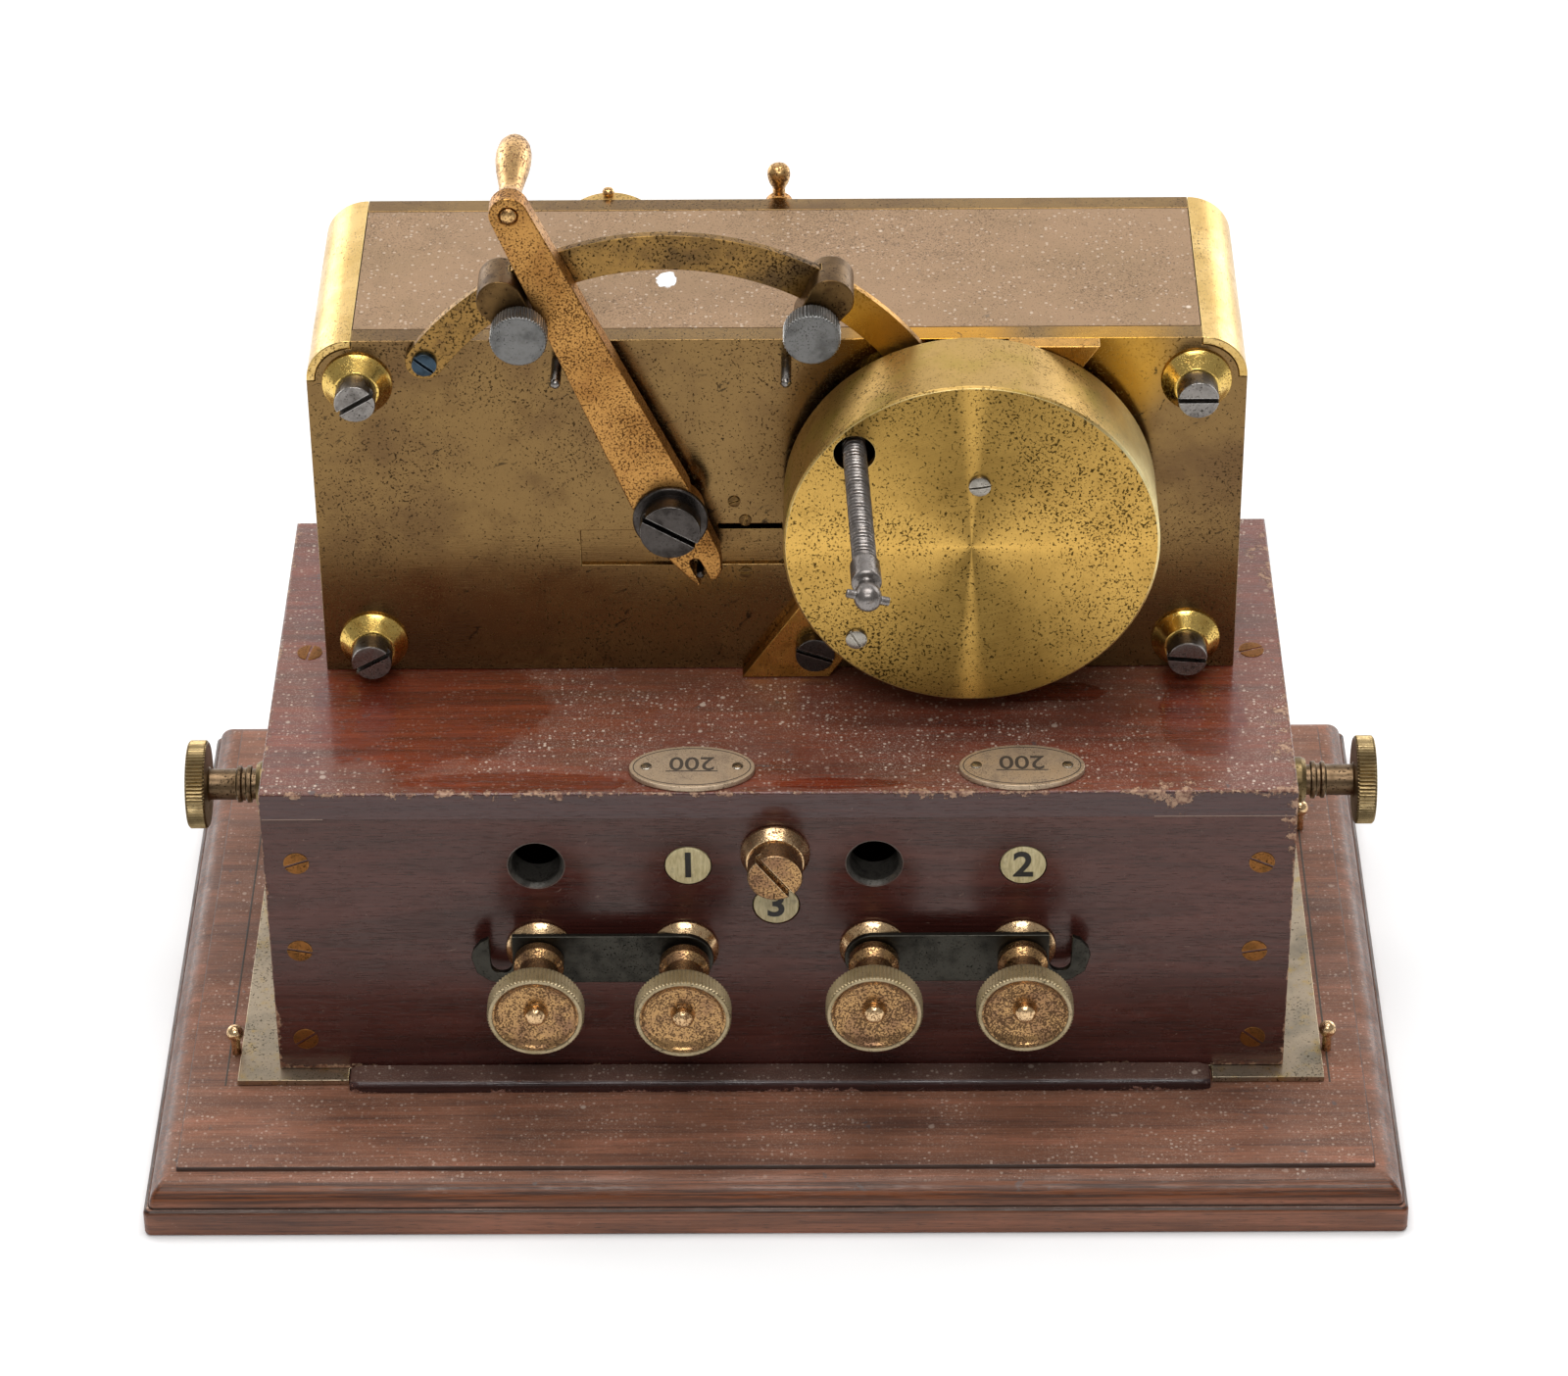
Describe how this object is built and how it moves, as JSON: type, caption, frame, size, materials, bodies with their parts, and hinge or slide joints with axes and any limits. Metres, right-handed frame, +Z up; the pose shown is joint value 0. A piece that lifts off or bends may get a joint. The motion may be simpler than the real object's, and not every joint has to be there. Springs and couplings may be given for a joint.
{
  "type": "automatic morse key",
  "caption": "Clockwork Morse transmitter: wooden terminal box on a moulded base, brass case on top with a speed lever on a quadrant, a drum and a flexible drive shaft.",
  "frame": {"origin": "middle of the underside of the base board", "axes": "+X along the length of the base, towards the drum end; -Y towards the terminals and the speed lever; +Z up"},
  "size_m": [0.305, 0.1954, 0.2381],
  "materials": {
    "base_wood": "polished mahogany, dusty",
    "box_wood": "dark polished mahogany",
    "lid_wood": "polished red mahogany, dusty",
    "ivory": "ivory coloured inlay",
    "blackened_brass": "blackened, satin",
    "plate_brass": "tarnished lacquered brass with dark specks",
    "cover_brass": "dull matt brass sheet",
    "wrap_brass": "bright lacquered brass",
    "sheet_brass": "grey tarnished brass",
    "terminal_brass": "turned brass, speckled",
    "knurled_brass": "olive tarnished brass",
    "bronze": "coppery tarnished brass",
    "gold_brass": "turned brass, spotted",
    "dark_steel": "dark steel",
    "blued_steel": "blued steel",
    "nickel": "dull nickel",
    "drum_brass": "spun brass, radial grain, dark specks"
  },
  "bodies": {
    "base": {"base_board": "base_wood", "base_plate": "sheet_brass", "stop_bar": "box_wood", "plate_pin_1": "terminal_brass", "plate_pin_2": "terminal_brass", "plate_pin_3": "terminal_brass", "plate_pin_4": "terminal_brass", "box_front": "box_wood", "box_back": "box_wood", "box_top": "lid_wood", "box_side_left": "box_wood", "box_side_right": "box_wood", "label_disc_1": "ivory", "label_disc_2": "ivory", "label_disc_3": "ivory", "oval_plate_left": "sheet_brass", "oval_plate_right": "sheet_brass", "centre_screw": "terminal_brass", "terminal_post_1": "terminal_brass", "terminal_post_2": "terminal_brass", "terminal_post_3": "terminal_brass", "terminal_post_4": "terminal_brass", "side_bush_left": "knurled_brass", "side_bush_right": "knurled_brass", "front_plate": "plate_brass", "back_plate": "plate_brass", "top_cover": "cover_brass", "corner_cover_left": "wrap_brass", "end_cover_left": "wrap_brass", "corner_cover_right": "wrap_brass", "end_cover_right": "wrap_brass", "corner_screw_1": "dark_steel", "corner_screw_2": "dark_steel", "corner_screw_3": "dark_steel", "corner_screw_4": "dark_steel", "pivot_screw": "dark_steel", "arc_strip": "bronze", "arc_screw": "blued_steel", "stop_pin_left": "dark_steel", "stop_pin_right": "dark_steel", "drum_bar": "drum_brass", "drum_cover": "drum_brass"},
    "lever": {"speed_lever": "bronze", "lever_handle": "gold_brass"},
    "slide": {"slide_bar": "plate_brass"},
    "clamp_l": {"clamp_left": "bronze"},
    "clamp_r": {"clamp_right": "bronze"},
    "thumb_l": {"clamp_screw_left": "nickel"},
    "thumb_r": {"clamp_screw_right": "nickel"},
    "nut_1": {"terminal_nut_1": "terminal_brass"},
    "nut_2": {"terminal_nut_2": "terminal_brass"},
    "nut_3": {"terminal_nut_3": "terminal_brass"},
    "nut_4": {"terminal_nut_4": "terminal_brass"},
    "strap_l": {"link_strap_left": "blackened_brass"},
    "strap_r": {"link_strap_right": "blackened_brass"},
    "knob_l": {"side_screw_left": "knurled_brass"},
    "knob_r": {"side_screw_right": "knurled_brass"},
    "shaft": {"drive_shaft": "dark_steel"},
    "wheel": {"drum_wheel": "plate_brass"},
    "starter": {"start_lever": "gold_brass"}
  },
  "joints": [
    {"name": "speed_lever_turn", "type": "hinge", "parent": "base", "child": "lever", "pos_m": [-0.024, -0.009, 0.1505], "axis": [0, 1, 0], "range_deg": [0, 46.1]},
    {"name": "slide_travel", "type": "slide", "parent": "base", "child": "slide", "axis": [-1, 0, 0], "range_m": [0, 0.0136]},
    {"name": "clamp_left_shift", "type": "hinge", "parent": "base", "child": "clamp_l", "pos_m": [-0.024, -0.005, 0.1505], "axis": [0, -1, 0], "range_deg": [0, 10.5]},
    {"name": "clamp_right_shift", "type": "hinge", "parent": "base", "child": "clamp_r", "pos_m": [-0.024, -0.005, 0.1505], "axis": [0, 1, 0], "range_deg": [0, 8]},
    {"name": "thumbscrew_left_turn", "type": "hinge", "parent": "clamp_l", "child": "thumb_l", "pos_m": [-0.05797, -0.015, 0.20403], "axis": [0, -1, 0], "continuous": true},
    {"name": "thumbscrew_right_turn", "type": "hinge", "parent": "clamp_r", "child": "thumb_r", "pos_m": [0.00997, -0.015, 0.20403], "axis": [0, -1, 0], "continuous": true},
    {"name": "terminal_1_turn", "type": "hinge", "parent": "base", "child": "nut_1", "pos_m": [-0.0567, -0.078, 0.0544], "axis": [0, -1, 0], "continuous": true},
    {"name": "terminal_2_turn", "type": "hinge", "parent": "base", "child": "nut_2", "pos_m": [-0.0216, -0.078, 0.0544], "axis": [0, -1, 0], "continuous": true},
    {"name": "terminal_3_turn", "type": "hinge", "parent": "base", "child": "nut_3", "pos_m": [0.024, -0.078, 0.0544], "axis": [0, -1, 0], "continuous": true},
    {"name": "terminal_4_turn", "type": "hinge", "parent": "base", "child": "nut_4", "pos_m": [0.0599, -0.078, 0.0544], "axis": [0, -1, 0], "continuous": true},
    {"name": "strap_left_swing", "type": "hinge", "parent": "base", "child": "strap_l", "pos_m": [-0.0216, -0.0588, 0.0544], "axis": [0, 1, 0], "range_deg": [0, 85]},
    {"name": "strap_right_swing", "type": "hinge", "parent": "base", "child": "strap_r", "pos_m": [0.024, -0.0588, 0.0544], "axis": [0, -1, 0], "range_deg": [0, 85]},
    {"name": "side_screw_left_turn", "type": "hinge", "parent": "base", "child": "knob_l", "pos_m": [-0.144, 0.002, 0.062], "axis": [-1, 0, 0], "continuous": true},
    {"name": "side_screw_right_turn", "type": "hinge", "parent": "base", "child": "knob_r", "pos_m": [0.1466, 0.002, 0.062], "axis": [1, 0, 0], "continuous": true},
    {"name": "drum_wheel_spin", "type": "hinge", "parent": "base", "child": "wheel", "pos_m": [0.0472, 0.01, 0.1539], "axis": [0, -1, 0], "continuous": true},
    {"name": "drive_shaft_spin", "type": "hinge", "parent": "base", "child": "shaft", "pos_m": [0.01781, 0.01, 0.18014], "axis": [0.0471, -0.9989, 0], "continuous": true},
    {"name": "start_lever_turn", "type": "hinge", "parent": "base", "child": "starter", "pos_m": [0.0018, 0.0635, 0.16], "axis": [0, 1, 0], "range_deg": [0, 25]}
  ],
  "couplings": [
    {"joint": "slide_travel", "follows": "speed_lever_turn", "m_per_rad": 0.01682},
    {"joint": "drive_shaft_spin", "follows": "drum_wheel_spin", "ratio": -3}
  ]
}
